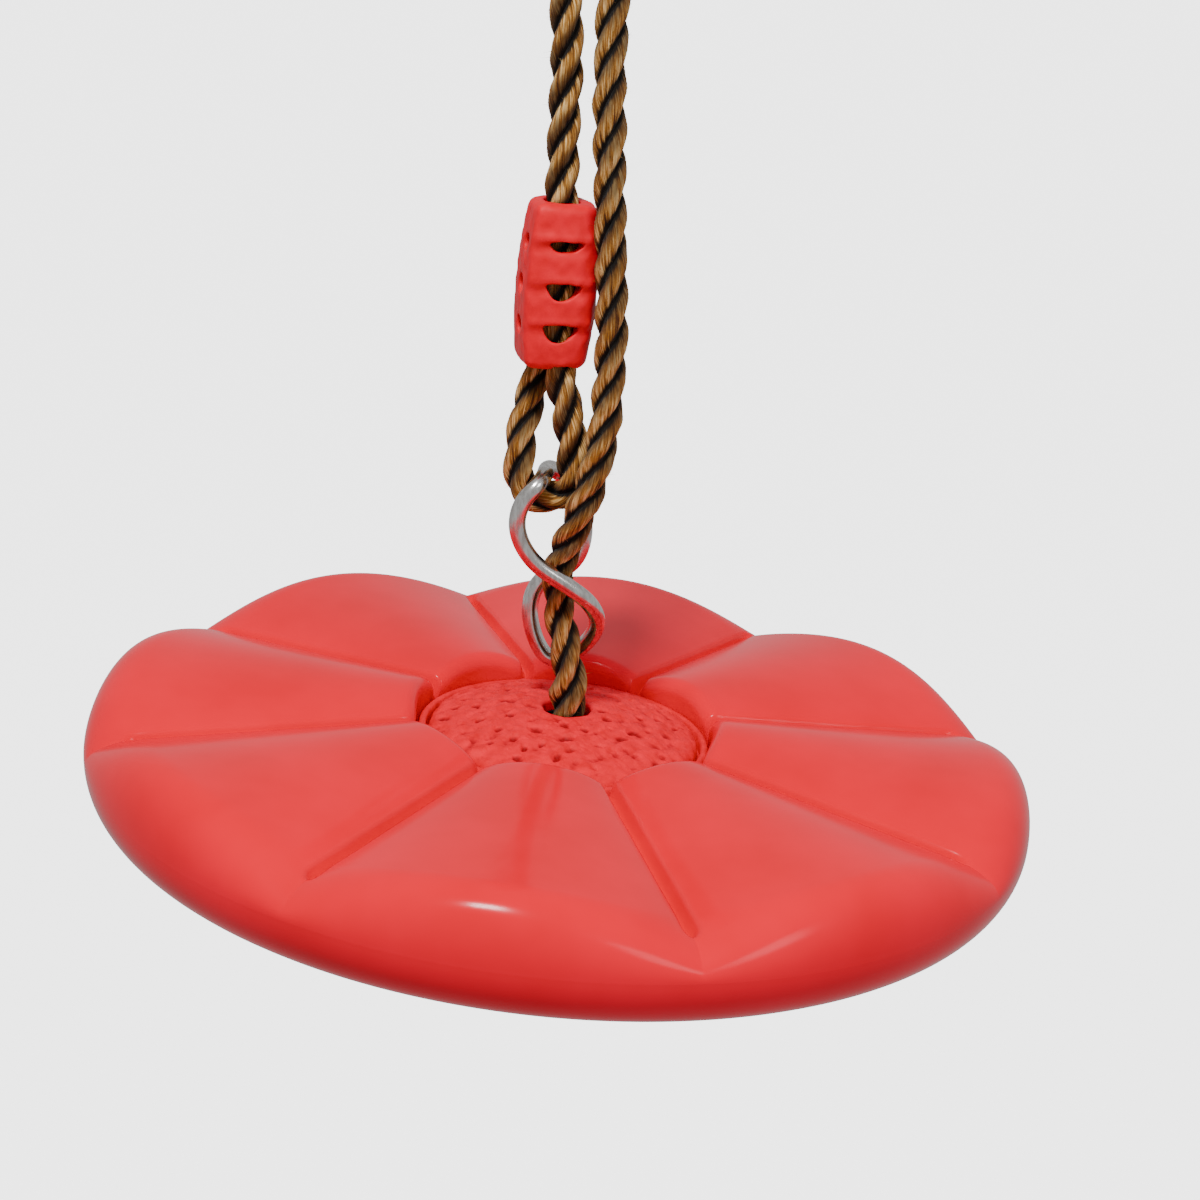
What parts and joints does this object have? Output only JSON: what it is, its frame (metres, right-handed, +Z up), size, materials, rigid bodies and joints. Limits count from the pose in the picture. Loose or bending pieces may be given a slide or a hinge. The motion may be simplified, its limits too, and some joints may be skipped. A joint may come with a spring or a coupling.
{
  "type": "disc swing seat on adjustable rope",
  "caption": "Round petal-shaped plastic disc swing on a twisted rope with a clamp, figure-eight adjuster ring, stopper knot and snap hook.",
  "frame": {"origin": "inside of the hook's top bow, where whatever holds the swing bears on it", "axes": "+Z up along the hanging rope, the hook's wire loop in the YZ plane, -Y is the front; the seat hangs 6 degrees out of level with its +X side low"},
  "size_m": [0.2836, 0.285, 0.354],
  "materials": {
    "seat_plastic": "glossy moulded",
    "dome_plastic": "matte textured",
    "clamp_plastic": "satin moulded",
    "bush_plastic": "moulded",
    "rope_fibre": "twisted synthetic hemp",
    "sealed_end": "melted rope end",
    "galvanised_steel": "zinc plated",
    "spring_steel": "bright"
  },
  "bodies": {
    "hanger": {"hook_body": "galvanised_steel", "gate_pin": "galvanised_steel"},
    "gate": {"hook_gate": "galvanised_steel", "gate_plunger": "galvanised_steel", "gate_spring": "spring_steel"},
    "top_rope": {"rope_bight": "rope_fibre", "rope_left_leg": "rope_fibre", "rope_right_leg": "rope_fibre"},
    "adjuster": {"rope_clamp": "clamp_plastic", "rope_eye": "rope_fibre", "rope_throat": "rope_fibre"},
    "ring": {"adjuster_ring": "galvanised_steel"},
    "lower_rope": {"rope_lower": "rope_fibre", "stopper_knot": "rope_fibre", "rope_tail": "rope_fibre", "rope_tip": "sealed_end"},
    "washer": {"load_washer": "galvanised_steel"},
    "bush": {"rope_bush": "bush_plastic"},
    "seat": {"seat_petal_shell": "seat_plastic", "seat_base_shell": "seat_plastic", "centre_dome": "dome_plastic"}
  },
  "joints": [
    {"name": "gate_hinge", "type": "hinge", "parent": "hanger", "child": "gate", "pos_m": [0, -0.01163, -0.043], "axis": [1, 0, 0], "range_deg": [-20, 0], "stiffness_Nm_per_rad": 0.02, "springref_deg": 17.19},
    {"name": "swing", "type": "hinge", "parent": "hanger", "child": "top_rope", "pos_m": [0, 0, -0.0595], "axis": [0, 1, 0], "range_deg": [-40, 40]},
    {"name": "adjuster_slide", "type": "slide", "parent": "top_rope", "child": "adjuster", "axis": [0, 0, 1], "range_m": [-0.002, 0.015], "deforming": ["rope_left_leg", "rope_right_leg"]},
    {"name": "ring_play", "type": "hinge", "parent": "adjuster", "child": "ring", "pos_m": [-0.0128, 0, -0.2248], "axis": [0, 1, 0], "range_deg": [-1.5, 1.5]},
    {"name": "seat_drop", "type": "slide", "parent": "adjuster", "child": "lower_rope", "axis": [0, 0, 1], "range_m": [-0.03, 0.004], "deforming": ["rope_lower"]},
    {"name": "seat_tilt", "type": "hinge", "parent": "lower_rope", "child": "washer", "pos_m": [-0.00896, 0, -0.3162], "axis": [0, 1, 0], "range_deg": [-6, 2]},
    {"name": "seat_spin", "type": "hinge", "parent": "washer", "child": "bush", "pos_m": [-0.00896, 0, -0.3162], "axis": [0.1056, 0, 0.9944], "continuous": true},
    {"name": "seat_lift", "type": "slide", "parent": "bush", "child": "seat", "axis": [0.1056, 0, 0.9944], "range_m": [0, 0.005]}
  ],
  "couplings": [
    {"joint": "seat_drop", "follows": "adjuster_slide", "ratio": -2}
  ]
}
